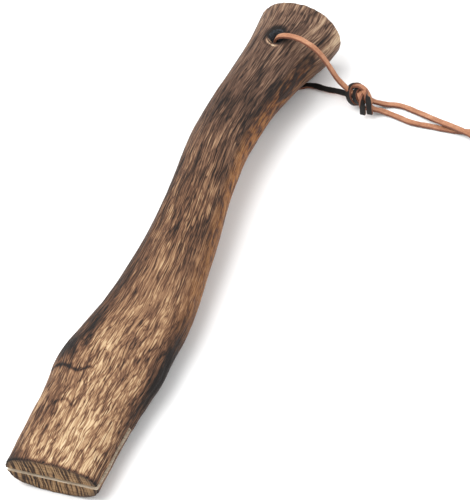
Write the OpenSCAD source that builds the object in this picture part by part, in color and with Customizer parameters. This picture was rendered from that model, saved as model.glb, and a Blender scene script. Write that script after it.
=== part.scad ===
// A swatter handle cut from one crooked branch. Its flat end has a saw kerf for the blade, and its
// round end has a burnt hole with a flat leather lace tied through it in a loop.
// It lies along Y on its underside, flat side level, with the blade end towards -Y.

/* [Handle] */
// Length of the wood from the sawn blade end to the lace end
handle_length = 250; // [244:1:262]
// Radius worn onto the rim of the lace end
rim_radius = 1.5; // [0.5:0.1:2.5]

/* [Blade kerf] */
// Gap of the saw cut that takes the blade
kerf_gap = 1.8; // [1:0.1:3]
// Depth of the saw cut from the sawn end
kerf_depth = 30; // [15:1:45]

/* [Lace hole] */
// Diameter of the hole through the round end
hole_diameter = 6; // [6:0.1:7]
// Distance from the lace end to the middle of the hole
hole_inset = 20.5; // [20:0.5:22]
// Depth of the burnt countersink round each mouth of the hole
mouth_depth = 0.9; // [0.3:0.1:1.2]

/* [Lace] */
// Width of the leather lace
lace_width = 2.8; // [2:0.1:2.9]
// Thickness of the leather lace
lace_thickness = 1.6; // [1:0.1:1.7]
// Diameter of the knot
knot_diameter = 11.6; // [10.6:0.1:11.8]

/* [Hidden] */
cut = 1;            // how far a cutting solid runs past the wood
chamfer_slope = 1;  // the countersink widens as fast as it rises
lace_corner = 0.35; // what is shaved off each edge of the lace

// The branch, from the blade end to the lace end: share of the length, middle in X, middle in Z,
// half width, half height, and how square the section is, where 2 is an ellipse.
branch = [
    [0.00,  0.0,  9.5, 20.1,  9.2, 2.5],
    [0.08, -0.5,  9.5, 20.6,  9.3, 2.45],
    [0.16, -0.4,  9.8, 21.5,  9.8, 2.4],
    [0.22, -0.4, 10.5, 23.0, 10.5, 2.35],
    [0.27,  1.0, 11.2, 21.7, 10.9, 2.3],
    [0.33,  3.0, 12.0, 20.0, 11.2, 2.2],
    [0.40,  3.3, 13.3, 17.6, 11.6, 2.1],
    [0.50,  2.1, 15.2, 15.1, 11.7, 2],
    [0.60, -0.5, 16.9, 13.5, 11.5, 2],
    [0.70, -2.9, 18.4, 13.4, 11.5, 2],
    [0.79, -2.5, 18.3, 13.9, 11.9, 2],
    [0.86, -0.4, 17.9, 14.6, 13.2, 2],
    [0.91,  1.5, 17.8, 15.6, 14.6, 2],
    [0.96,  3.7, 17.6, 18.1, 16.1, 2],
    [1.00,  4.2, 17.5, 19.2, 17.4, 2],
];
branch_sides = 44;
branch_rings = 40;
rim_steps = 4;

kerf_z = branch[0][2];
kerf_reach = 60;
hole_x = 4;
hole_y = handle_length / 2 - hole_inset;
hole_share = 1 - hole_inset / handle_length;
hole_top = smooth(branch, 2, hole_share) + smooth(branch, 4, hole_share);
hole_foot = smooth(branch, 2, hole_share) - smooth(branch, 4, hole_share);
mouth_reach = 4;

// The lace's routes, measured from the middle of the hole in X and Y and from the ground in Z.
// Up through the hole, over the side of the handle and down into the knot
front_route = [
    [-0.6, 0, 16], [-0.9, 0, 20], [-1.2, 0, 24], [-1.3, 0, 28], [-0.9, 0, 30.2], [0.2, 0, 32],
    [1.9, 0, 33.2], [4.2, -0.1, 33.9], [6.6, -0.3, 34.2], [9.2, -0.6, 34.2], [12, -0.9, 33.6],
    [14.8, -1.2, 32.3], [17.5, -1.4, 30.4], [20, -1.7, 27.6], [22.2, -1.9, 23.6],
    [24.1, -2.1, 18.9], [26.2, -2.4, 14.2], [28.6, -2.6, 10.9], [31, -2.9, 8.6],
];
// Down through the hole, under the handle and up into the knot
back_route = [
    [-0.6, 0, 16], [-1, 0, 12], [-1.3, 0, 8.2], [-1.1, 0, 5.2], [-0.3, 0.2, 3.2], [1.2, 0.9, 1.8],
    [3.4, 2.4, 1.1], [6.4, 4, 1], [10.5, 4.3, 1], [15.2, 3.1, 1.4], [19.6, 1.9, 2.3],
    [23.4, 0.7, 3.4], [27, -0.7, 4.3], [30.5, -2, 4.9],
];
// Out of the knot along the ground, round a bight and back, crossing over itself once
loop_route = [
    [41.7, -3, 4.1], [44, -2, 2.6], [46.8, -1, 1.4], [50.5, -0.3, 1], [55, -0.9, 1], [60, -2.4, 1],
    [65.2, -4.2, 1.3], [70.4, -6.6, 2.2], [75.4, -8.6, 2.9], [80.2, -10, 3], [85.2, -11.6, 3],
    [90, -13.1, 2.6], [95, -14.6, 1.6], [101, -16.4, 1], [108, -18, 1], [115, -18.8, 1],
    [122, -18.2, 1], [128, -15.8, 1], [132, -11.5, 1], [132.2, -6, 1], [128.5, -1.6, 1],
    [122.6, 0, 1], [115.5, -0.6, 1], [108, -2.6, 1], [101, -5, 1], [94.5, -7.4, 1], [88, -9.6, 1],
    [81.5, -10.4, 1], [75, -10.2, 1], [69, -9.8, 1], [64, -9.6, 1], [59, -8.8, 1], [54.5, -7.4, 1],
    [50, -6.2, 1.1], [46, -5.8, 1.9], [42.2, -6.4, 3.2],
];
// The two cut ends, out of the knot's top and down over its side
tail_routes = [
    [[36.4, -5.6, 9], [37, -8, 8.6], [37.4, -9.7, 6.8], [37.6, -10.3, 4.4], [37.7, -10.4, 1.8]],
    [[38.8, -5, 8.6], [39.9, -7.6, 7.9], [40.7, -9.4, 6.2], [41.1, -10.2, 4], [41.2, -10.4, 1.8]],
];
knot_centre = [35.2, -3.2, 5.9];

// Smooth curve through the rows of a table, whose first column is the place along it
function slope(rows, column, i) =
    let (before = max(i - 1, 0), after = min(i + 1, len(rows) - 1))
    (rows[after][column] - rows[before][column]) / (rows[after][0] - rows[before][0]);
function row_before(rows, place, i = 0) =
    i < len(rows) - 2 && place > rows[i + 1][0] ? row_before(rows, place, i + 1) : i;
function smooth(rows, column, place) =
    let (
        i = row_before(rows, place),
        gap = rows[i + 1][0] - rows[i][0],
        u = (place - rows[i][0]) / gap
    )
    (1 + 2 * u) * (1 - u) ^ 2 * rows[i][column] + u * (1 - u) ^ 2 * gap * slope(rows, column, i)
    + u ^ 2 * (3 - 2 * u) * rows[i + 1][column] + u ^ 2 * (u - 1) * gap * slope(rows, column, i + 1);

// One ring of the branch, as a squared ellipse drawn in by an inset
function squared(part, squareness) = sign(part) * abs(part) ^ (2 / squareness);
function branch_ring(share, inset) =
    let (squareness = smooth(branch, 5, share))
    [for (i = [0:branch_sides - 1]) let (turn = 360 * i / branch_sides) [
        smooth(branch, 1, share) + (smooth(branch, 3, share) - inset) * squared(cos(turn), squareness),
        (share - 0.5) * handle_length,
        smooth(branch, 2, share) + (smooth(branch, 4, share) - inset) * squared(sin(turn), squareness),
    ]];

// One ring of the lace round a point of its route, with its width along the side direction
function unit(v) = v / norm(v);
function heading(route, i) = unit(route[min(i + 1, len(route) - 1)] - route[max(i - 1, 0)]);
function lace_ring(middle, ahead, side) =
    let (
        across = unit(side - ahead * (side * ahead)),
        up = cross(ahead, across),
        w = lace_width / 2,
        t = lace_thickness / 2,
        c = lace_corner
    )
    [for (p = [[w, c - t], [w, t - c], [w - c, t], [c - w, t],
               [-w, t - c], [-w, c - t], [c - w, -t], [w - c, -t]])
        middle + across * p[0] + up * p[1]];

// Skin over a row of rings, closed at both ends
module skin(rings) {
    n = len(rings[0]);
    last = len(rings) - 1;
    polyhedron(
        points = [for (ring = rings) each ring],
        faces = [
            [for (i = [0:n - 1]) i],
            for (r = [0:last - 1], i = [0:n - 1]) let (j = (i + 1) % n)
                each [[r * n + i, (r + 1) * n + i, r * n + j], [r * n + j, (r + 1) * n + i, (r + 1) * n + j]],
            [for (i = [n - 1:-1:0]) last * n + i],
        ]
    );
}

// A stretch of lace whose width keeps to one side direction
module strand(route, side) {
    skin([for (i = [0:len(route) - 1]) lace_ring(route[i], heading(route, i), side)]);
}

// A stretch of lace that lies flat along the ground
module flat_strand(route) {
    skin([for (i = [0:len(route) - 1])
        let (ahead = heading(route, i)) lace_ring(route[i], ahead, cross([0, 0, 1], ahead))]);
}

// The branch as it grew, sawn off square at both ends, with the lace end's rim worn round
module branch_wood() {
    body_share = 1 - rim_radius / handle_length;
    skin([
        for (i = [0:branch_rings - 1]) branch_ring(body_share * i / branch_rings, 0),
        for (i = [0:rim_steps]) let (turn = 90 * i / rim_steps) branch_ring(
            body_share + (1 - body_share) * sin(turn),
            rim_radius * (1 - cos(turn))
        ),
    ]);
}

// Saw cut across the whole width of the blade end
module blade_kerf() {
    translate([-kerf_reach / 2, -handle_length / 2 - cut, kerf_z - kerf_gap / 2])
        cube([kerf_reach, kerf_depth + cut, kerf_gap]);
}

// Hole from top to bottom with a burnt countersink at each mouth
module lace_hole() {
    r = hole_diameter / 2;
    wide = r + mouth_reach * chamfer_slope;
    translate([hole_x, hole_y, 0]) {
        translate([0, 0, hole_foot - mouth_reach]) cylinder(h = hole_top - hole_foot + 2 * mouth_reach, r = r, $fn = 64);
        translate([0, 0, hole_top - mouth_depth]) cylinder(h = mouth_reach, r1 = r, r2 = wide, $fn = 64);
        translate([0, 0, hole_foot + mouth_depth - mouth_reach]) cylinder(h = mouth_reach, r1 = wide, r2 = r, $fn = 64);
    }
}

module handle() {
    color("saddlebrown") difference() {
        branch_wood();
        blade_kerf();
        lace_hole();
    }
}

module at_hole() {
    translate([hole_x, hole_y, 0]) children();
}

module lace_front_strand() {
    color("peru") at_hole() strand(front_route, [0, 1, 0]);
}

module lace_back_strand() {
    color("black") at_hole() strand(back_route, [0, 1, 0]);
}

module lace_knot() {
    color("sienna") at_hole() translate(knot_centre) sphere(d = knot_diameter, $fn = 48);
}

module lace_tails() {
    color("black") at_hole() for (route = tail_routes) strand(route, [1, 0, 0]);
}

module lace_loop() {
    color("peru") at_hole() flat_strand(loop_route);
}

handle();
lace_front_strand();
lace_back_strand();
lace_knot();
lace_tails();
lace_loop();
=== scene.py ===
import math

import bmesh
import bpy
import numpy as np
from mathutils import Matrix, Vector, noise


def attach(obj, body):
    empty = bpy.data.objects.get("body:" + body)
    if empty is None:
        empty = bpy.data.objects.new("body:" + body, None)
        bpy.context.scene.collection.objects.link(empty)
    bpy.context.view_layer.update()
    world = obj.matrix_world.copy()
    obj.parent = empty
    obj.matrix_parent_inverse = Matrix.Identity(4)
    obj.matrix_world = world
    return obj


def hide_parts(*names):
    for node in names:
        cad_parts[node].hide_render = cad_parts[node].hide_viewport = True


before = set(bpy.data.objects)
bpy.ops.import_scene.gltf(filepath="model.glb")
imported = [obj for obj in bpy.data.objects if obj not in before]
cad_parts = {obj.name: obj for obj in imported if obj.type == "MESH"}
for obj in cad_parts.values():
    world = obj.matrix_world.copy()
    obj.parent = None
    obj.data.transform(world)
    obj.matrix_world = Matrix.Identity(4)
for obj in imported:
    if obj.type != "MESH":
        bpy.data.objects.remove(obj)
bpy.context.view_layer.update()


# ---- Camera, floor and light
# A plain pale floor under the part, a large soft lamp above it on the left, a weaker one on the
# right, and an even pale surround.
scene = bpy.context.scene
scene.view_settings.view_transform = "Standard"
camera = bpy.data.objects.new("camera", bpy.data.cameras.new("camera"))
camera.data.lens = 174.7
camera.data.sensor_width = 36
camera.data.clip_start = 0.05
camera.location = (0.43745, -0.57127, 0.70979)
camera.rotation_euler = [math.radians(a) for a in (43.992, 12.091, 23.593)]
scene.collection.objects.link(camera)
scene.camera = camera

floor_mesh = bmesh.new()
bmesh.ops.create_grid(floor_mesh, x_segments=1, y_segments=1, size=2)
floor_data = bpy.data.meshes.new("floor")
floor_mesh.to_mesh(floor_data)
floor_mesh.free()
floor = bpy.data.objects.new("floor", floor_data)
scene.collection.objects.link(floor)
floor_paint = bpy.data.materials.new("floor_paint")
floor_paint.use_nodes = True
floor_shader = floor_paint.node_tree.nodes["Principled BSDF"]
floor_shader.inputs["Base Color"].default_value = (0.9, 0.9, 0.9, 1)
floor_shader.inputs["Roughness"].default_value = 0.9
floor_data.materials.append(floor_paint)

for lamp_name, place, width, power in [
    ("lamp_main", (-0.3, -0.2, 0.95), 0.95, 12),
    ("lamp_fill", (0.8, 0.4, 0.7), 0.8, 4),
]:
    lamp = bpy.data.objects.new(lamp_name, bpy.data.lights.new(lamp_name, "AREA"))
    lamp.data.size = width
    lamp.data.energy = power
    lamp.location = place
    lamp.rotation_euler = (-Vector(place)).to_track_quat("-Z", "Y").to_euler()
    scene.collection.objects.link(lamp)
surround = bpy.data.worlds.new("surround")
surround.use_nodes = True
surround.node_tree.nodes["Background"].inputs["Color"].default_value = (1, 1, 1, 1)
surround.node_tree.nodes["Background"].inputs["Strength"].default_value = 0.8
scene.world = surround


# ---- The branch
# One crooked length of branch, sawn off square at both ends. It is scorched with a torch and then
# wire-brushed along the grain, which leaves light ridges between dark furrows.
MM = 0.001
LENGTH = 250
RIM_RADIUS = 1.5
ARRIS = 0.35
AROUND = 176
ALONG = 400
WOOD_OFF_FLOOR = 0.02
# The half width and half height that the branch has once its grain is laid straight and even
EVEN_WIDTH = 18
EVEN_HEIGHT = 13
# Where the long furrows of the grip start to give way to scales, and where they are gone
SCALES_START = -25
SCALES_FULL = -60
# How far the brushed grain sways from straight, and the heights of its relief
GRAIN_SWAY = 0.8
SCALE_RIPPLE = 0.26
GRIP_RIPPLE = 0.08
GRIP_FURROW = 0.16
LUMP = 0.25
# The branch's line and section at shares of its length, a squareness of 2 being an ellipse
SHARE, MIDDLE_X, MIDDLE_Z, HALF_WIDTH, HALF_HEIGHT, SQUARENESS = range(6)
BRANCH = np.array([
    (0.00, 0.0, 9.5, 20.1, 9.2, 2.5),
    (0.08, -0.5, 9.5, 20.6, 9.3, 2.45),
    (0.16, -0.4, 9.8, 21.5, 9.8, 2.4),
    (0.22, -0.4, 10.5, 23.0, 10.5, 2.35),
    (0.27, 1.0, 11.2, 21.7, 10.9, 2.3),
    (0.33, 3.0, 12.0, 20.0, 11.2, 2.2),
    (0.40, 3.3, 13.3, 17.6, 11.6, 2.1),
    (0.50, 2.1, 15.2, 15.1, 11.7, 2),
    (0.60, -0.5, 16.9, 13.5, 11.5, 2),
    (0.70, -2.9, 18.4, 13.4, 11.5, 2),
    (0.79, -2.5, 18.3, 13.9, 11.9, 2),
    (0.86, -0.4, 17.9, 14.6, 13.2, 2),
    (0.91, 1.5, 17.8, 15.6, 14.6, 2),
    (0.96, 3.7, 17.6, 18.1, 16.1, 2),
    (1.00, 4.2, 17.5, 19.2, 17.4, 2),
])


def smooth_between(u, gap, first, last, first_slope, last_slope):
    """A smooth curve from one value to the next, at the share u of the gap between them."""
    return (
        (1 + 2 * u) * (1 - u) ** 2 * first + u * (1 - u) ** 2 * gap * first_slope
        + u ** 2 * (3 - 2 * u) * last + u ** 2 * (u - 1) * gap * last_slope
    )


def branch_at(column, share):
    """One column of BRANCH at any share of the length."""
    places, values = BRANCH[:, SHARE], BRANCH[:, column]
    step = np.clip(np.arange(len(places))[:, None] + [-1, 1], 0, len(places) - 1)
    slopes = (values[step[:, 1]] - values[step[:, 0]]) / (places[step[:, 1]] - places[step[:, 0]])
    i = np.clip(np.searchsorted(places, share) - 1, 0, len(places) - 2)
    gap = places[i + 1] - places[i]
    u = (share - places[i]) / gap
    return smooth_between(u, gap, values[i], values[i + 1], slopes[i], slopes[i + 1])


def length_share(y):
    """The share of the length at a place along Y."""
    return np.clip(y / LENGTH + 0.5, 0, 1)


def side_angle(points):
    """Degrees round the branch's own middle line, 0 towards +X and 90 upwards."""
    share = length_share(points[:, 1])
    aside = points[:, 0] - branch_at(MIDDLE_X, share)
    up = points[:, 2] - branch_at(MIDDLE_Z, share)
    return np.degrees(np.arctan2(up, aside))


def grain_place(points):
    """Where a point sits in the branch if the branch is unbent and made even in width."""
    share = length_share(points[:, 1])
    aside = (points[:, 0] - branch_at(MIDDLE_X, share)) * EVEN_WIDTH / branch_at(HALF_WIDTH, share)
    up = (points[:, 2] - branch_at(MIDDLE_Z, share)) * EVEN_HEIGHT / branch_at(HALF_HEIGHT, share)
    return np.stack([aside, points[:, 1], up], axis=1)


def bump_noise(points, across, along, seed):
    """Smooth noise from about -1 to 1, drawn out along Y."""
    shift = Vector((seed * 13.7, seed * 5.1, seed * 9.3))
    return np.array([
        noise.noise(Vector((p[0] / across, p[1] / along, p[2] / across)) + shift) for p in points
    ]) * 1.6


def fade(value, start, end):
    """0 at the start, 1 at the end, and even in between."""
    return np.clip((value - start) / (end - start), 0, 1)


def skinned(name, rings):
    """A closed mesh over rows of rings, whose first and last rows are single points."""
    rows, sides = rings.shape[0], rings.shape[1]
    bm = bmesh.new()
    bmesh.ops.create_grid(bm, x_segments=sides, y_segments=rows - 1, size=1)
    for v in bm.verts:
        side = round((v.co.x + 1) / 2 * sides)
        row = round((v.co.y + 1) / 2 * (rows - 1))
        v.co = rings[row, side % sides]
    bmesh.ops.remove_doubles(bm, verts=bm.verts, dist=1e-7)
    bmesh.ops.recalc_face_normals(bm, faces=bm.faces)
    data = bpy.data.meshes.new(name)
    bm.to_mesh(data)
    bm.free()
    data.shade_smooth()
    piece = bpy.data.objects.new(name, data)
    scene.collection.objects.link(piece)
    return piece


# Rows: the sawn end out from its middle, its arris, the length, the worn rim, and the lace end in
end_scale = np.array([0, 0.15, 0.4, 0.65, 0.85])
end_rows = len(end_scale)
body = np.linspace(ARRIS, LENGTH - RIM_RADIUS, ALONG)
rim_turns = np.radians(np.linspace(0, 90, 7))[1:]
row_place = np.concatenate([
    np.zeros(end_rows + 1), body,
    LENGTH - RIM_RADIUS + RIM_RADIUS * np.sin(rim_turns), np.full(end_rows, LENGTH),
])
row_inset = np.concatenate([
    np.zeros(end_rows), [ARRIS], np.zeros(ALONG),
    RIM_RADIUS * (1 - np.cos(rim_turns)), np.full(end_rows, RIM_RADIUS),
])
row_scale = np.concatenate([end_scale, np.ones(1 + ALONG + len(rim_turns)), end_scale[::-1]])

# Each row is an ellipse, squarer on the flat end, with its points spread evenly round it
share = row_place / LENGTH
turn = np.radians(np.linspace(-90, 270, 2 * 360 + 1))
power = 2 / branch_at(SQUARENESS, share)[:, None]
dense_x = branch_at(HALF_WIDTH, share)[:, None] * np.sign(np.cos(turn)) * np.abs(np.cos(turn)) ** power
dense_z = branch_at(HALF_HEIGHT, share)[:, None] * np.sign(np.sin(turn)) * np.abs(np.sin(turn)) ** power
run = np.cumsum(np.hypot(np.diff(dense_x, axis=1), np.diff(dense_z, axis=1)), axis=1)
run = np.concatenate([np.zeros((len(share), 1)), run], axis=1)
rings = np.zeros((len(share), AROUND, 3))
for row in range(len(share)):
    even = np.arange(AROUND) / AROUND * run[row, -1]
    rings[row, :, 0] = np.interp(even, run[row], dense_x[row])
    rings[row, :, 2] = np.interp(even, run[row], dense_z[row])
reach = np.hypot(rings[:, :, 0], rings[:, :, 2])[:, :, None]
rings *= (1 - row_inset[:, None, None] / reach) * row_scale[:, None, None]
rings[:, :, 0] += branch_at(MIDDLE_X, share)[:, None]
rings[:, :, 2] += branch_at(MIDDLE_Z, share)[:, None]
rings[:, :, 1] = row_place[:, None] - LENGTH / 2

# Brushed relief: scaly ripples on the wide end, long furrows on the grip, slow lumps all over
flat = rings.reshape(-1, 3)
grain = grain_place(flat)
wide_end = fade(flat[:, 1], SCALES_START, SCALES_FULL)
sway_aside, sway_up = [bump_noise(grain, 9, 14, seed) for seed in (1, 2)]
bent = grain + np.stack([sway_aside, np.zeros(len(grain)), sway_up], axis=1) * GRAIN_SWAY
ripples = bump_noise(bent, 1.8, 9, 3)
furrows = bump_noise(bent, 1.7, 22, 4)
lumps = bump_noise(grain, 9, 20, 5)
on_scales = wide_end * SCALE_RIPPLE * ripples
on_grip = (1 - wide_end) * (GRIP_RIPPLE * ripples + GRIP_FURROW * furrows)
relief = (on_scales + on_grip + LUMP * lumps).reshape(rings.shape[:2])
outward = rings - rings.mean(axis=1, keepdims=True)
outward[:, :, 1] = 0
outward /= np.maximum(np.linalg.norm(outward, axis=2, keepdims=True), 1e-6)
rings += outward * relief[:, :, None] * (row_scale[:, None, None] ** 2)
rings[:, :, 2] = np.maximum(rings[:, :, 2], WOOD_OFF_FLOOR)
branch = skinned("branch_grip", rings * MM)

# ---- The saw kerf and the hole
# The kerf is one pass of a saw along the flat end, left raw inside. The hole goes through from both faces,
# and its mouths are countersunk so that they don't cut the lace.
KERF_GAP = 1.8
KERF_DEPTH = 30
KERF_Z = 9.5
HOLE_X = 4
HOLE_Y = 104.5
HOLE_RADIUS = 3
HOLE_TOP = 32.6
HOLE_FOOT = 2.9
MOUTH_DEPTH = 0.9
# How far each cutter runs out of the wood, and how wide the kerf's cutter is
KERF_OVERRUN = 2
MOUTH_OVERRUN = 4
KERF_WIDTH = 60
# In metres: points nearer than this are one
MERGE_DISTANCE = 5e-6


def cut_from_branch(bm, name):
    """Take a cutter, drawn in millimetres, out of the branch."""
    bmesh.ops.scale(bm, vec=(MM, MM, MM), verts=bm.verts)
    cutter_data = bpy.data.meshes.new(name)
    bm.to_mesh(cutter_data)
    bm.free()
    cutter = bpy.data.objects.new(name, cutter_data)
    scene.collection.objects.link(cutter)
    cut = branch.modifiers.new("cut", "BOOLEAN")
    cut.operation = "DIFFERENCE"
    cut.solver = "EXACT"
    cut.object = cutter
    whole = bpy.data.meshes.new_from_object(branch.evaluated_get(bpy.context.evaluated_depsgraph_get()))
    branch.modifiers.clear()
    branch.data = whole
    bpy.data.objects.remove(cutter)


bm = bmesh.new()
bmesh.ops.create_cube(bm, size=1)
bmesh.ops.scale(bm, vec=(KERF_WIDTH, KERF_DEPTH + KERF_OVERRUN, KERF_GAP), verts=bm.verts)
kerf_middle = (KERF_DEPTH - KERF_OVERRUN) / 2 - LENGTH / 2
bmesh.ops.translate(bm, vec=(0, kerf_middle, KERF_Z), verts=bm.verts)
cut_from_branch(bm, "kerf_cutter")

bm = bmesh.new()
mouth_radius = HOLE_RADIUS + MOUTH_DEPTH + MOUTH_OVERRUN
profile = [
    (0, HOLE_FOOT - MOUTH_OVERRUN), (mouth_radius, HOLE_FOOT - MOUTH_OVERRUN),
    (HOLE_RADIUS, HOLE_FOOT + MOUTH_DEPTH), (HOLE_RADIUS, HOLE_TOP - MOUTH_DEPTH),
    (mouth_radius, HOLE_TOP + MOUTH_OVERRUN), (0, HOLE_TOP + MOUTH_OVERRUN),
]
line = [bm.verts.new((r, 0, z)) for r, z in profile]
for a, b in zip(line, line[1:]):
    bm.edges.new((a, b))
bmesh.ops.spin(
    bm, geom=bm.verts[:] + bm.edges[:], cent=(0, 0, 0), axis=(0, 0, 1), angle=math.tau, steps=72,
    use_merge=True, use_duplicate=False,
)
bmesh.ops.remove_doubles(bm, verts=bm.verts, dist=1e-4)
bmesh.ops.recalc_face_normals(bm, faces=bm.faces)
bmesh.ops.translate(bm, vec=(HOLE_X, HOLE_Y, 0), verts=bm.verts)
cut_from_branch(bm, "hole_cutter")
branch.data.name = "branch_grip"

# The cuts leave needles, and a few folded pairs of slivers, back to back on the same corners
bm = bmesh.new()
bm.from_mesh(branch.data)
bmesh.ops.remove_doubles(bm, verts=bm.verts, dist=MERGE_DISTANCE)
bmesh.ops.dissolve_degenerate(bm, edges=bm.edges, dist=MERGE_DISTANCE)
bmesh.ops.triangulate(bm, faces=[f for f in bm.faces if len(f.verts) > 4])
on_corners = {}
for f in bm.faces:
    on_corners.setdefault(frozenset(f.verts), []).append(f)
folded = [f for pair in on_corners.values() if len(pair) > 1 for f in pair]
bmesh.ops.delete(bm, geom=folded, context="FACES_ONLY")
bmesh.ops.delete(bm, geom=[e for e in bm.edges if not e.link_faces], context="EDGES")
bm.to_mesh(branch.data)
bm.free()


def read_vectors(items, field):
    values = np.zeros(len(items) * 3)
    items.foreach_get(field, values)
    return values.reshape(-1, 3)


# Each face is brushed side, sawn end, raw kerf wall or hole wall, by where it lies and which way it looks.
# The mouths of the hole are cones at 45 degrees.
BRUSHED_SIDE, SAWN_END, KERF_WALL, HOLE_WALL = range(4)
TOUCHING = 0.01
mesh = branch.data
face_middle = read_vectors(mesh.polygons, "center") / MM
face_normal = read_vectors(mesh.polygons, "normal")
from_hole = np.hypot(face_middle[:, 0] - HOLE_X, face_middle[:, 1] - HOLE_Y)
square_on = np.abs(face_normal[:, 1]) > 0.97
at_an_end = np.abs(face_middle[:, 1]) > LENGTH / 2 - 2 * TOUCHING
in_kerf = np.abs(face_middle[:, 2] - KERF_Z) < KERF_GAP / 2 + TOUCHING
in_kerf &= face_middle[:, 1] < KERF_DEPTH - LENGTH / 2 + TOUCHING
in_kerf &= (np.abs(face_normal[:, 2]) > 0.999) | (face_normal[:, 1] < -0.999)
in_kerf &= ~(square_on & (face_middle[:, 1] < 1 - LENGTH / 2))
inward = (
    face_normal[:, 0] * (HOLE_X - face_middle[:, 0]) + face_normal[:, 1] * (HOLE_Y - face_middle[:, 1])
) / from_hole
in_hole = (from_hole < HOLE_RADIUS + 2 * TOUCHING) & (inward > 0.6)
in_mouth = (from_hole < HOLE_RADIUS + 3) & (inward > 0.55) & (inward < 0.85)
kind = np.full(len(mesh.polygons), BRUSHED_SIDE, dtype=np.int32)
kind[square_on & at_an_end] = SAWN_END
kind[in_kerf] = KERF_WALL
kind[in_hole | in_mouth] = HOLE_WALL

# The edges where two kinds of face meet are sharp
loop_edge = np.zeros(len(mesh.loops), dtype=np.int32)
mesh.loops.foreach_get("edge_index", loop_edge)
face_size = np.zeros(len(mesh.polygons), dtype=np.int32)
mesh.polygons.foreach_get("loop_total", face_size)
loop_kind = np.repeat(kind, face_size)
low_kind = np.full(len(mesh.edges), HOLE_WALL)
high_kind = np.full(len(mesh.edges), BRUSHED_SIDE)
np.minimum.at(low_kind, loop_edge, loop_kind)
np.maximum.at(high_kind, loop_edge, loop_kind)
mesh.shade_smooth()
sharp = mesh.attributes.new("sharp_edge", "BOOLEAN", "EDGE")
sharp.data.foreach_set("value", low_kind != high_kind)
mesh.update()

# How light, how amber and how scaly the brushed wood is, place by place
points = read_vectors(mesh.vertices, "co") / MM
grain = grain_place(points)
angle = side_angle(points)
y = points[:, 1]


def along_branch(stops):
    """A value at every point, from its stops along the branch."""
    places, values = zip(*stops)
    return np.interp(y, places, values)


def turned(angle, centre):
    """Degrees from a centre angle, from -180 to 180."""
    return (angle - centre + 180) % 360 - 180


def spot(place, round_at, along, around):
    """A soft round patch on the side of the branch, from 0 to 1."""
    return np.exp(-((y - place) / along) ** 2 - (turned(angle, round_at) / around) ** 2)


def thin_line(distance, width):
    """1 on a line, falling softly to 0 on both sides."""
    return np.exp(-(distance / width) ** 2)


def add_values(mesh, name, values):
    mesh.attributes.new(name, "FLOAT", "POINT").data.foreach_set("value", values.astype(np.float32))


light = along_branch([
    (-125, 0.65), (-95, 0.6), (-60, 0.52), (-30, 0.42), (0, 0.38), (45, 0.32), (70, 0.22),
    (95, 0.31), (125, 0.42),
])
right_side = fade(angle, 24, 4) * fade(angle, -170, -60)
light -= right_side * along_branch([
    (-125, 0.2), (-104, 0.2), (-92, 0.32), (-75, 0.4), (-58, 0.36), (-42, 0.14), (-20, 0.04),
    (60, 0.0), (100, 0.1), (125, -0.08),
])
light -= fade(angle, 120, 150) * along_branch([
    (-125, 0.12), (-90, 0.1), (-50, 0.2), (0, 0.2), (60, -0.05), (125, -0.05),
])
# Scorched and rubbed patches: place, degrees round, reach along and around, change in lightness
for place, round_at, along, around, change in [
    (-72, 4, 13, 8, -0.28), (-52, 6, 9, 8, -0.12), (-68, 160, 5, 16, -0.4), (-58, 140, 7, 8, -0.3),
    (-124.5, 165, 4, 25, -0.3), (66, 26, 16, 8, -0.22), (88, 12, 11, 12, -0.16), (99, 8, 6, 8, -0.1),
    (116, 37, 14, 3, 0.22), (121, 2, 8, 8, 0.25), (88, 132, 16, 8, 0.14), (18, 43, 5, 5, 0.28),
    (-24, 77, 4, 6, 0.25), (5, 108, 12, 5, 0.15), (-7, 84, 5, 7, -0.25), (-9, 42, 9, 6, -0.22),
    (30, 96, 8, 6, -0.2), (-35, 60, 9, 9, 0.12), (-48, 30, 9, 8, 0.1), (-110, 60, 12, 16, 0.1),
]:
    light += change * spot(place, round_at, along, around)
# Two winding cracks across the wide end and one crack along the lace end
knuckle_crack = thin_line(y + 78.5 + 1.2 * np.sin(angle / 9), 0.7) * fade(angle, 92, 104)
light -= 0.5 * knuckle_crack
flat_crack = thin_line(y + 95 + 1.2 * np.sin(angle / 7), 0.7) * fade(angle, 90, 105) * fade(angle, 150, 130)
light -= 0.3 * flat_crack
lace_end_crack = thin_line(angle - 21 - 1.5 * np.sin(y / 4), 1.1) * fade(y, 104, 110)
light -= 0.45 * lace_end_crack
# The dark arris of the sawn end, painted shade round the hole's mouth, heavier on its far side, and slow
# changes all over
light -= 0.4 * thin_line(y + LENGTH / 2, 0.9)
# Painted shade round the hole's mouth, centred a little towards its far side
light -= 0.42 * fade(np.hypot(points[:, 0] - HOLE_X + 0.8, y - HOLE_Y - 0.9), 6.6, 4.4)
light += 0.05 * bump_noise(grain, 6, 18, 11)
# A painted highlight along the near side of the hole's rim, in the colour of bare wood
from_axis = np.hypot(points[:, 0] - HOLE_X, y - HOLE_Y)
rim_turn = turned(np.degrees(np.arctan2(y - HOLE_Y, points[:, 0] - HOLE_X)), 245)
light += 0.8 * np.exp(-((from_axis - 4.45) / 0.5) ** 2 - (rim_turn / 55) ** 4)
# Two healed scars beside the lace hole, each inside a dark outline
for place, round_at, along, around in [(100, 8, 6, 13), (87, 5, 5, 12)]:
    reach = np.hypot((y - place) / along, turned(angle, round_at) / around)
    light -= 0.3 * thin_line(reach - 1, 0.2) + 0.1 * fade(reach, 1.1, 0.8)
amber = fade(angle, 30, 8) * fade(angle, -120, -60) * along_branch([
    (-60, 0), (-30, 0.5), (20, 0.85), (60, 1), (78, 0.9), (90, 0.7), (112, 0.1),
])
amber = np.clip(amber + 0.3 * spot(97, 2, 6, 9), 0, 1)
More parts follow.
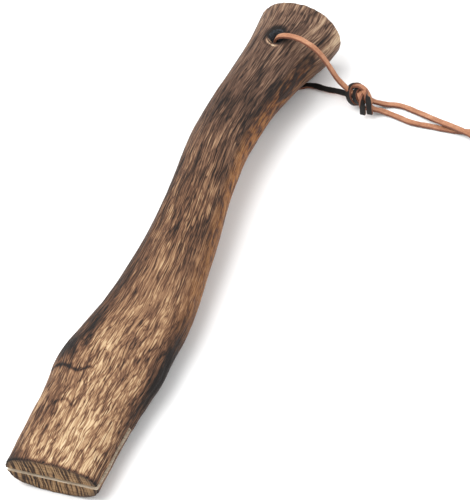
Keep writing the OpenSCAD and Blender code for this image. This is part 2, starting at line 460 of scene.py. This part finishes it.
# How near a point of the sawn ends is to their rim
share = length_share(y)
rim = (
    (np.abs(points[:, 0] - branch_at(MIDDLE_X, share)) / branch_at(HALF_WIDTH, share)) ** 2
    + (np.abs(points[:, 2] - branch_at(MIDDLE_Z, share)) / branch_at(HALF_HEIGHT, share)) ** 2
) ** 0.5
add_values(mesh, "light", light)
add_values(mesh, "amber", amber)
add_values(mesh, "scaly", fade(y, SCALES_START + 5, SCALES_FULL))
grain_values = mesh.attributes.new("grain", "FLOAT_VECTOR", "POINT")
grain_values.data.foreach_set("vector", grain.astype(np.float32).ravel())
add_values(mesh, "rim", fade(rim, 0.86, 1))


def set_socket(tree, socket, value):
    """Link another node's output to a socket, or give the socket a value of its own."""
    if isinstance(value, bpy.types.NodeSocket):
        tree.links.new(value, socket)
    elif value is not None:
        socket.default_value = value


def add_node(tree, kind, *values, **settings):
    """A shader node with its settings made and its inputs set or linked in order."""
    made = tree.nodes.new(kind)
    for key, value in settings.items():
        setattr(made, key, value)
    for socket, value in zip(made.inputs, values):
        set_socket(tree, socket, value)
    return made


def sums(tree, operation, *values):
    return add_node(tree, "ShaderNodeMath", *values, operation=operation).outputs[0]


def vector_sums(tree, operation, *values):
    return add_node(tree, "ShaderNodeVectorMath", *values, operation=operation).outputs[0]


def joined(tree, x, y, z):
    return add_node(tree, "ShaderNodeCombineXYZ", x, y, z).outputs[0]


def parted(tree, vector, axis):
    return add_node(tree, "ShaderNodeSeparateXYZ", vector).outputs[axis]


def faded(tree, value, start, end):
    """0 at the start, 1 at the end, and even in between."""
    return add_node(tree, "ShaderNodeMapRange", value, start, end).outputs[0]


def painted_value(tree, name):
    return add_node(tree, "ShaderNodeAttribute", attribute_name=name).outputs["Fac"]


def in_millimetres(tree):
    """Where a point is in the object, in millimetres."""
    here = add_node(tree, "ShaderNodeTexCoord").outputs["Object"]
    return vector_sums(tree, "MULTIPLY", here, (1 / MM, 1 / MM, 1 / MM))


def blend_colour(tree, share, first, second):
    made = tree.nodes.new("ShaderNodeMix")
    made.data_type = "RGBA"
    for name, value in (("Factor_Float", share), ("A_Color", first), ("B_Color", second)):
        set_socket(tree, next(s for s in made.inputs if s.identifier == name), value)
    return next(s for s in made.outputs if s.identifier == "Result_Color")


def ramp(tree, value, stops):
    made = add_node(tree, "ShaderNodeValToRGB", value)
    points_on = made.color_ramp.elements
    while len(points_on) < len(stops):
        points_on.new(0.5)
    for point, (place, colour) in zip(points_on, stops):
        point.position = place
        point.color = (*colour, 1)
    return made.outputs[0]


def new_paint(name, roughness):
    paint = bpy.data.materials.new(name)
    paint.use_nodes = True
    shader = paint.node_tree.nodes["Principled BSDF"]
    shader.inputs["Roughness"].default_value = roughness
    shader.inputs["Specular IOR Level"].default_value = 0.22
    return paint, paint.node_tree, shader


def add_bump(tree, shader, height, strength, depth):
    bump = add_node(tree, "ShaderNodeBump")
    bump.inputs["Strength"].default_value = strength
    bump.inputs["Distance"].default_value = depth
    tree.links.new(height, bump.inputs["Height"])
    tree.links.new(bump.outputs[0], shader.inputs["Normal"])


# Wood streaks: noise drawn out along the grain, for every face of the branch and for the leather
streaks = bpy.data.node_groups.new("wood_streaks", "ShaderNodeTree")
streaks.interface.new_socket("Place", in_out="INPUT", socket_type="NodeSocketVector")
for name in ("Across", "Along", "Shift"):
    streaks.interface.new_socket(name, in_out="INPUT", socket_type="NodeSocketFloat")
streaks.interface.new_socket("Value", in_out="OUTPUT", socket_type="NodeSocketFloat")
streaks_in = streaks.nodes.new("NodeGroupInput")
streaks_out = streaks.nodes.new("NodeGroupOutput")
across_rate = sums(streaks, "DIVIDE", 1.0, streaks_in.outputs["Across"])
along_rate = sums(streaks, "DIVIDE", 1.0, streaks_in.outputs["Along"])
drawn = vector_sums(
    streaks, "MULTIPLY", streaks_in.outputs["Place"], joined(streaks, across_rate, along_rate, across_rate)
)
moved = vector_sums(streaks, "ADD", drawn, streaks_in.outputs["Shift"])
cloud = add_node(streaks, "ShaderNodeTexNoise", moved)
cloud.inputs["Scale"].default_value = 1
cloud.inputs["Detail"].default_value = 2
streaks.links.new(cloud.outputs[0], streaks_out.inputs[0])


def streak(tree, place, across, along, shift):
    made = tree.nodes.new("ShaderNodeGroup")
    made.node_tree = streaks
    for name, value in (("Place", place), ("Across", across), ("Along", along), ("Shift", shift)):
        set_socket(tree, made.inputs[name], value)
    return made.outputs[0]


# The brushed side: the darker the scorch, the less the bare tan of the ridges shows
brushed, tree, shader = new_paint("brushed_wood", 0.62)
in_grain = add_node(tree, "ShaderNodeAttribute", attribute_name="grain").outputs["Vector"]
light_here, amber_here, scaly_here = [painted_value(tree, name) for name in ("light", "amber", "scaly")]
sway_aside, sway_up = [
    sums(tree, "MULTIPLY_ADD", streak(tree, in_grain, 6, 14, shift), 2.2, -1.1) for shift in (3, 9)
]
wandered = vector_sums(tree, "ADD", in_grain, joined(tree, sway_aside, 0.0, sway_up))
fine = streak(tree, wandered, 0.45, 11, 1)
fleck = streak(tree, wandered, 0.9, 12, 5)
long_streak = streak(tree, wandered, 0.62, 24, 7)
patch = streak(tree, in_grain, 5, 18, 13)


def thin_furrows(across, along, shift):
    """0 along thin winding furrows that follow the grain, 1 on the wood between them."""
    level = sums(tree, "ABSOLUTE", sums(tree, "SUBTRACT", streak(tree, wandered, across, along, shift), 0.5))
    return faded(tree, level, 0.0, 0.075)


scales = sums(tree, "MULTIPLY_ADD", fleck, 0.3, sums(tree, "MULTIPLY", fine, 0.3))
scales = sums(tree, "MULTIPLY_ADD", thin_furrows(1.5, 17, 2), 0.19, scales)
scales = sums(tree, "MULTIPLY_ADD", thin_furrows(1.2, 9, 8), 0.15, scales)
lines = sums(tree, "MULTIPLY_ADD", long_streak, 0.36, sums(tree, "MULTIPLY", fine, 0.34))
lines = sums(tree, "MULTIPLY_ADD", thin_furrows(1.25, 28, 6), 0.17, lines)
lines = sums(tree, "MULTIPLY_ADD", thin_furrows(2.6, 13, 4), 0.07, lines)
pattern = sums(
    tree, "ADD", sums(tree, "MULTIPLY", sums(tree, "SUBTRACT", scales, 0.06), scaly_here),
    sums(tree, "MULTIPLY", sums(tree, "SUBTRACT", lines, 0.02), sums(tree, "SUBTRACT", 1.0, scaly_here)),
)
# Towards the lace end the contrast is lower and the colour greyer
upper = faded(tree, parted(tree, in_grain, "Y"), 10.0, 90.0)
contrast = sums(tree, "MULTIPLY_ADD", scaly_here, -0.4, sums(tree, "MULTIPLY_ADD", upper, -0.35, 1.95))
bareness = sums(tree, "MULTIPLY_ADD", sums(tree, "SUBTRACT", pattern, 0.5), contrast, light_here)
bareness = sums(tree, "ADD", bareness, sums(tree, "MULTIPLY_ADD", patch, 0.3, -0.15))
wood_colour = ramp(tree, bareness, [
    (0.0, (0.008, 0.005, 0.004)), (0.16, (0.028, 0.014, 0.008)), (0.34, (0.085, 0.039, 0.021)),
    (0.5, (0.175, 0.088, 0.046)), (0.64, (0.32, 0.19, 0.1)), (0.8, (0.52, 0.37, 0.215)),
    (1.0, (0.7, 0.57, 0.38)),
])
mottle = streak(tree, in_grain, 2.2, 5, 21)
amber_shade = sums(tree, "MULTIPLY_ADD", mottle, 0.75, sums(tree, "MULTIPLY_ADD", pattern, 0.6, -0.37))
amber_shade = sums(tree, "MULTIPLY_ADD", light_here, 0.55, amber_shade)
amber_colour = ramp(tree, amber_shade, [
    (0.28, (0.02, 0.008, 0.004)), (0.38, (0.09, 0.028, 0.007)), (0.5, (0.22, 0.082, 0.017)),
    (0.7, (0.38, 0.175, 0.05)),
])
coloured = blend_colour(tree, amber_here, wood_colour, amber_colour)
grey = add_node(tree, "ShaderNodeHueSaturation")
tree.links.new(coloured, grey.inputs["Color"])
grey.inputs["Saturation"].default_value = 0.35
greyed = sums(tree, "MULTIPLY", sums(tree, "MULTIPLY", upper, 0.24), sums(tree, "SUBTRACT", 1.0, amber_here))
tree.links.new(blend_colour(tree, greyed, coloured, grey.outputs[0]), shader.inputs["Base Color"])
tree.links.new(sums(tree, "MULTIPLY_ADD", amber_here, -0.15, 0.66), shader.inputs["Roughness"])
add_bump(tree, shader, pattern, 0.8, 0.0006)

# The sawn ends: growth rings cut across, scorched at the rim
PITH = (-95, 0, 12)
sawn_end, tree, shader = new_paint("sawn_end_wood", 0.75)
here = in_millimetres(tree)
bend = streak(tree, here, 7, 7, 2)
from_pith = vector_sums(tree, "MULTIPLY", vector_sums(tree, "SUBTRACT", here, PITH), (1, 0, 1))
ring_radius = add_node(tree, "ShaderNodeVectorMath", from_pith, operation="LENGTH").outputs["Value"]
ring_radius = sums(tree, "MULTIPLY_ADD", bend, 2.5, ring_radius)
ring_height = sums(tree, "MULTIPLY", parted(tree, here, "Z"), 0.045)
ring_place = joined(tree, ring_radius, 0.0, ring_height)
late_wood = streak(tree, ring_place, 0.8, 1, 5)
crowding = streak(tree, ring_place, 9, 1, 9)
ring_line = faded(tree, sums(tree, "MULTIPLY_ADD", crowding, 0.4, late_wood), 0.62, 0.72)
speck = streak(tree, here, 0.35, 0.35, 4)
saw_lines = streak(tree, vector_sums(tree, "MULTIPLY", here, (0.09, 1, 1)), 0.55, 0.55, 12)
ring_shade = sums(tree, "MULTIPLY_ADD", ring_line, 0.5, sums(tree, "MULTIPLY", speck, 0.2))
ring_shade = sums(tree, "MULTIPLY_ADD", saw_lines, 0.6, ring_shade)
end_colour = ramp(tree, ring_shade, [
    (0.38, (0.013, 0.006, 0.003)), (0.56, (0.075, 0.036, 0.015)), (0.8, (0.19, 0.104, 0.046)),
    (1.0, (0.33, 0.21, 0.105)),
])
scorched = sums(tree, "MULTIPLY", painted_value(tree, "rim"), 0.85)
tree.links.new(blend_colour(tree, scorched, end_colour, (0.03, 0.018, 0.013, 1)), shader.inputs["Base Color"])
add_bump(tree, shader, ring_shade, 0.5, 0.0002)

# The kerf's walls: raw wood with fine saw marks across the cut
kerf_wall, tree, shader = new_paint("raw_kerf_wood", 0.8)
saw_marks = streak(tree, vector_sums(tree, "MULTIPLY", in_millimetres(tree), (0.12, 1, 1)), 0.8, 0.8, 6)
raw_colour = ramp(tree, saw_marks, [(0.3, (0.4, 0.31, 0.22)), (0.7, (0.66, 0.58, 0.47))])
tree.links.new(raw_colour, shader.inputs["Base Color"])

# The hole's walls: near black, painted shade in the hole and on its countersink, with a painted highlight in
# bare-wood colour at the near edge of the countersink
hole_wall, tree, shader = new_paint("shaded_hole_wood", 0.6)
here = in_millimetres(tree)
hole_mottle = streak(tree, here, 0.8, 0.8, 8)
painted_shade_black = ramp(tree, hole_mottle, [(0.35, (0.008, 0.008, 0.009)), (0.7, (0.045, 0.05, 0.058))])
# The painted highlight: bare-wood colour on the near upper edge of the countersink
near_side = faded(tree, parted(tree, here, "Y"), HOLE_Y - 1.0, HOLE_Y - 2.6)
near_top = faded(tree, parted(tree, here, "Z"), HOLE_TOP - 1.2, HOLE_TOP - 0.6)
painted_highlight_edge = sums(tree, "MULTIPLY", near_side, near_top)
tree.links.new(blend_colour(tree, painted_highlight_edge, painted_shade_black, (0.42, 0.27, 0.17, 1)), shader.inputs["Base Color"])

for paint in (brushed, sawn_end, kerf_wall, hole_wall):
    branch.data.materials.append(paint)
branch.data.polygons.foreach_set("material_index", kind)
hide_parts("handle")
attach(branch, "handle")


# ---- The lace through the hole
# One flat leather lace, tan and napped on its flesh side, with painted shade on its cut edges, and dyed black
# on its grain side. Its tan side looks away from the wood, so the strand under it shows its black side.
LACE_WIDTH = 2.5
LACE_THICKNESS = 1.25
LACE_CORNER = 0.28
LACE_OFF_FLOOR = 0.03
# Each cut end is flat, with a ring of this size inside its edge to keep it crisp
CUT_END_SCALE = 0.9
FRONT_ROUTE = [
    (-0.6, 0, 16), (-0.9, 0, 20), (-1.2, 0, 24), (-1.3, 0, 28), (-0.9, 0, 30.2), (0.2, 0, 32),
    (1.9, 0, 33.2), (4.2, -0.1, 33.9), (6.6, -0.3, 34.2), (9.2, -0.6, 34.2), (12, -0.9, 33.6),
    (14.8, -1.2, 32.3), (17.5, -1.4, 30.4), (20, -1.7, 27.6), (22.2, -1.9, 23.6),
    (24.1, -2.1, 18.9), (26.2, -2.4, 14.2), (28.6, -2.6, 10.9), (31, -2.9, 8.6), (33.5, -3, 7),
]
BACK_ROUTE = [
    (-0.6, 0, 16), (-1, 0, 12), (-1.3, 0, 8.2), (-1.1, 0, 5.2), (-0.3, 0.2, 3.2), (1.2, 0.9, 1.8),
    (3.4, 2.4, 1.1), (6.4, 4, 1), (10.5, 4.3, 1), (15.2, 3.1, 1.4), (19.6, 1.9, 2.3),
    (23.4, 0.7, 3.4), (27, -0.7, 4.3), (30.5, -2, 4.9), (33, -2.6, 5.2),
]
# The point of BACK_ROUTE from which the lace leans, with its tan side tilted under
LEANS_FROM = 8

# Leather: napped tan flesh side, cut edges darkened as painted shade, smooth black grain side
lace_leather, tree, shader = new_paint("two_sided_leather", 0.6)
flesh_here, sideways_here, run_here = [painted_value(tree, name) for name in ("flesh", "sideways", "run")]
lace_place = joined(tree, sideways_here, run_here, flesh_here)
nap = streak(tree, lace_place, 0.22, 0.9, 3)
stain = streak(tree, lace_place, 2.5, 7, 5)
nap_shade = sums(tree, "ADD", sums(tree, "MULTIPLY", nap, 0.6), sums(tree, "MULTIPLY", stain, 0.5))
tan_colour = ramp(tree, nap_shade, [
    (0.3, (0.2, 0.078, 0.04)), (0.55, (0.37, 0.17, 0.094)), (0.8, (0.51, 0.275, 0.165)),
])
# The cut edges are a darker brown than the tan side: painted shade on the lace's sides
shaded_edge_colour = ramp(tree, nap_shade, [(0.3, (0.1, 0.036, 0.022)), (0.7, (0.24, 0.1, 0.06))])
black_colour = ramp(tree, nap_shade, [(0.3, (0.003, 0.0026, 0.0026)), (0.75, (0.014, 0.012, 0.011))])
on_tan = faded(tree, flesh_here, 0.78, 0.96)
on_black = faded(tree, flesh_here, -0.62, -0.86)
leather_colour = blend_colour(tree, on_tan, shaded_edge_colour, tan_colour)
leather_colour = blend_colour(tree, on_black, leather_colour, black_colour)
tree.links.new(leather_colour, shader.inputs["Base Color"])
tree.links.new(sums(tree, "MULTIPLY_ADD", on_black, -0.1, 0.68), shader.inputs["Roughness"])
add_bump(tree, shader, nap, 0.5, 0.00015)


def lace_section():
    """Points round the lace's cross-section, a flat strip with rounded corners, tan side up."""
    x = LACE_WIDTH / 2 - LACE_CORNER
    z = LACE_THICKNESS / 2 - LACE_CORNER
    section = []
    for corner_x, corner_z, begin in [(x, z, 0), (-x, z, 90), (-x, -z, 180), (x, -z, 270)]:
        for degrees in (0, 30, 60, 90):
            a = math.radians(begin + degrees)
            section.append((corner_x + LACE_CORNER * math.cos(a), corner_z + LACE_CORNER * math.sin(a)))
        if begin in (0, 180):
            face_z = corner_z + math.copysign(LACE_CORNER, corner_z)
            section += [(corner_x * share, face_z) for share in (0.5, 0, -0.5)]
    return np.array(section)


def strap(name, route, tan_side, step=0.5):
    """A flat lace along a route. tan_side says which way its flesh side looks at each point."""
    route = np.array(route, dtype=float)
    tan_side = np.array(tan_side, dtype=float)
    run = np.concatenate([[0], np.cumsum(np.linalg.norm(np.diff(route, axis=0), axis=1))])
    slopes = np.gradient(route, run, axis=0)
    at = np.linspace(0, run[-1], max(8, round(run[-1] / step)))
    i = np.clip(np.searchsorted(run, at) - 1, 0, len(run) - 2)
    gap = (run[i + 1] - run[i])[:, None]
    u = (at - run[i])[:, None] / gap
    line = smooth_between(u, gap, route[i], route[i + 1], slopes[i], slopes[i + 1])
    line += (HOLE_X, HOLE_Y, 0)
    ahead = np.gradient(line, axis=0)
    ahead /= np.linalg.norm(ahead, axis=1, keepdims=True)
    facing = np.stack([np.interp(at, run, tan_side[:, k]) for k in range(3)], axis=1)
    facing -= ahead * np.sum(facing * ahead, axis=1, keepdims=True)
    facing /= np.linalg.norm(facing, axis=1, keepdims=True)
    across = np.cross(ahead, facing)
    # The lace's width wavers a little, out of step from one stretch to the next
    waver = 1 + 0.03 * np.sin(at * 0.9 + len(name)) + 0.02 * np.sin(at * 2.3)
    section = lace_section()
    rings = (
        line[:, None] + across[:, None] * (section[None, :, 0:1] * waver[:, None, None])
        + facing[:, None] * section[None, :, 1:2]
    )
    rings[:, :, 2] = np.maximum(rings[:, :, 2], LACE_OFF_FLOOR)
    first, last = line[:1, None], line[-1:, None]
    rings = np.concatenate([
        first.repeat(len(section), axis=1), first + (rings[:1] - first) * CUT_END_SCALE, rings,
        last + (rings[-1:] - last) * CUT_END_SCALE, last.repeat(len(section), axis=1),
    ])
    piece = skinned(name, rings * MM)
    piece_points = read_vectors(piece.data.vertices, "co") / MM
    nearest = np.argmin(((piece_points[:, None] - line[None]) ** 2).sum(axis=2), axis=1)
    off = piece_points - line[nearest]
    add_values(piece.data, "flesh", (off * facing[nearest]).sum(axis=1) / (LACE_THICKNESS / 2))
    add_values(piece.data, "sideways", (off * across[nearest]).sum(axis=1) / (LACE_WIDTH / 2))
    add_values(piece.data, "run", at[nearest])
    piece.data.materials.append(lace_leather)
    return piece, [tuple(p) for p in line[::2] * MM]


def round_the_wood(route, sign):
    """The way out from the wood along a strand. The sign is 1 over the wood and -1 under it."""
    ahead = np.gradient(np.array(route, dtype=float), axis=0)
    return np.cross(ahead, (0, sign, 0))


front, front_line = strap("lace_over_wood", FRONT_ROUTE, round_the_wood(FRONT_ROUTE, 1))
back_sides = round_the_wood(BACK_ROUTE, -1)
back_sides[LEANS_FROM:] = (0, 0.55, -0.85)
back, back_line = strap("lace_under_wood", BACK_ROUTE, back_sides)
for piece, node_name in ((front, "lace_front_strand"), (back, "lace_back_strand")):
    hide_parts(node_name)
    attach(piece, "lanyard")


# ---- The knot
# The two strands are tied together in one overhand knot: three wraps side by side, the first two
# black side out, one tan wrap across them, the strands that pass through, and the two cut ends.
KNOT_ALONG = Vector((0.88, -0.215, 0.423)).normalized()
KNOT_UP = Vector((-0.153, 0.715, 0.682))
WRAP_END = 270
wrap_up = (KNOT_UP - KNOT_ALONG * KNOT_UP.dot(KNOT_ALONG)).normalized()
wrap_aside = KNOT_ALONG.cross(wrap_up)


def wrap(name, centre, radius, start, tan_out):
    """One turn of the lace round the knot, in degrees from its upper side."""
    turns = [math.radians(a) for a in np.linspace(start, WRAP_END, round((WRAP_END - start) / 20) + 1)]
    spokes = [wrap_up * math.cos(a) + wrap_aside * math.sin(a) for a in turns]
    route = [Vector(centre) + s * radius for s in spokes]
    return strap(name, route, [s * (1 if tan_out else -1) for s in spokes], step=0.4)[0]


wrap_first = wrap("knot_wrap_first", (32.8, -1.5, 5.6), 4.4, -60, False)
wrap_second = wrap("knot_wrap_second", (35.5, -2.6, 6.1), 3.3, -70, False)
wrap_third = wrap("knot_wrap_third", (37.6, -3.2, 6.6), 2.3, -90, True)
CROSS_ROUTE = [
    (31.6, 0.4, 7.6), (32.8, -0.6, 9.4), (35.4, -1.2, 10.5), (38.3, -2.5, 10), (40.2, -4.2, 8.2),
    (40.9, -5.4, 5.6), (39.9, -6.2, 2.9), (37.6, -5.6, 1.9),
]
knot_middle = Vector((35.8, -3.4, 5.8))
wrap_cross = strap("knot_wrap_cross", CROSS_ROUTE, [Vector(p) - knot_middle for p in CROSS_ROUTE])[0]

# The two strands that pass through the wraps
UPPER_ROUTE = [(32.3, -1.2, 6.4), (34.4, -0.5, 7.1), (36.4, -0.8, 7.2), (38.6, -2.6, 6.8)]
LOWER_ROUTE = [(32.3, -1.5, 4.6), (34.6, -2.5, 5.2), (37, -3.5, 5.1), (39, -4.5, 4.6)]
through_upper = strap("knot_through_upper", UPPER_ROUTE, [KNOT_UP] * len(UPPER_ROUTE))[0]
through_lower = strap("knot_through_lower", LOWER_ROUTE, [KNOT_UP] * len(LOWER_ROUTE))[0]

# The two cut ends: each turns over once on its way down, from its tan side to its black one
LEFT_ROUTE = [
    (36.2, -3.6, 8.2), (37, -5.2, 9.8), (38.4, -7.7, 10), (39.2, -9.5, 8.5), (39.3, -10, 6), (39, -10.2, 3),
]
LEFT_TURN = [(0, 0.3, 1), (-0.3, 0.3, 0.9), (-0.9, 0.2, 0.4), (-0.9, 0.5, 0), (-0.3, 0.95, 0), (0, 1, 0)]
RIGHT_ROUTE = [
    (37.8, -2.6, 9), (38.8, -3.9, 10.4), (40.5, -6.3, 10.4), (41.9, -8.2, 8.8), (42.4, -9.5, 6.4),
    (42.4, -10.1, 3.6),
]
RIGHT_TURN = [(0, 0.3, 1), (-0.6, 0.3, 0.7), (-0.9, 0.4, 0.1), (-0.5, 0.85, 0), (0, 1, 0), (0, 1, 0)]
tail_left = strap("knot_tail_left", LEFT_ROUTE, LEFT_TURN)[0]
tail_right = strap("knot_tail_right", RIGHT_ROUTE, RIGHT_TURN)[0]

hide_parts("lace_knot")
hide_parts("lace_tails")
knot_pieces = [
    wrap_first, wrap_second, wrap_third, wrap_cross, through_upper, through_lower, tail_left, tail_right,
]
for piece in knot_pieces:
    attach(piece, "lanyard")


# ---- The hanging loop
# The rest of the lace leaves the knot as two legs, lies flat with its tan side up, and turns back in
# one bight, crossing over itself once.
LOOP_ROUTE = [
    (38.5, -3.2, 6), (41.7, -3, 4.1), (44, -2, 2.6), (46.8, -1, 1.4), (50.5, -0.3, 1), (55, -0.9, 1),
    (60, -2.4, 1), (65.2, -4.2, 1.3), (70.4, -6.6, 2.2), (75.4, -8.6, 2.9), (80.2, -10, 3), (85.2, -11.6, 3),
    (90, -13.1, 2.6), (95, -14.6, 1.6), (101, -16.4, 1), (108, -18, 1), (115, -18.8, 1),
    (122, -18.2, 1), (128, -15.8, 1), (132, -11.5, 1), (132.2, -6, 1), (128.5, -1.6, 1),
    (122.6, 0, 1), (115.5, -0.6, 1), (108, -2.6, 1), (101, -5, 1), (94.5, -7.4, 1), (88, -9.6, 1),
    (81.5, -10.4, 1), (75, -10.2, 1), (69, -9.8, 1), (64, -9.6, 1), (59, -8.8, 1), (54.5, -7.4, 1),
    (50, -6.2, 1.1), (46, -5.8, 1.9), (42.2, -6.4, 3.2), (39.5, -5.6, 4.6),
]
loop, loop_line = strap("lace_hand_loop", LOOP_ROUTE, [(0, 0.05, 1)] * len(LOOP_ROUTE))
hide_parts("lace_loop")
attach(loop, "loop")
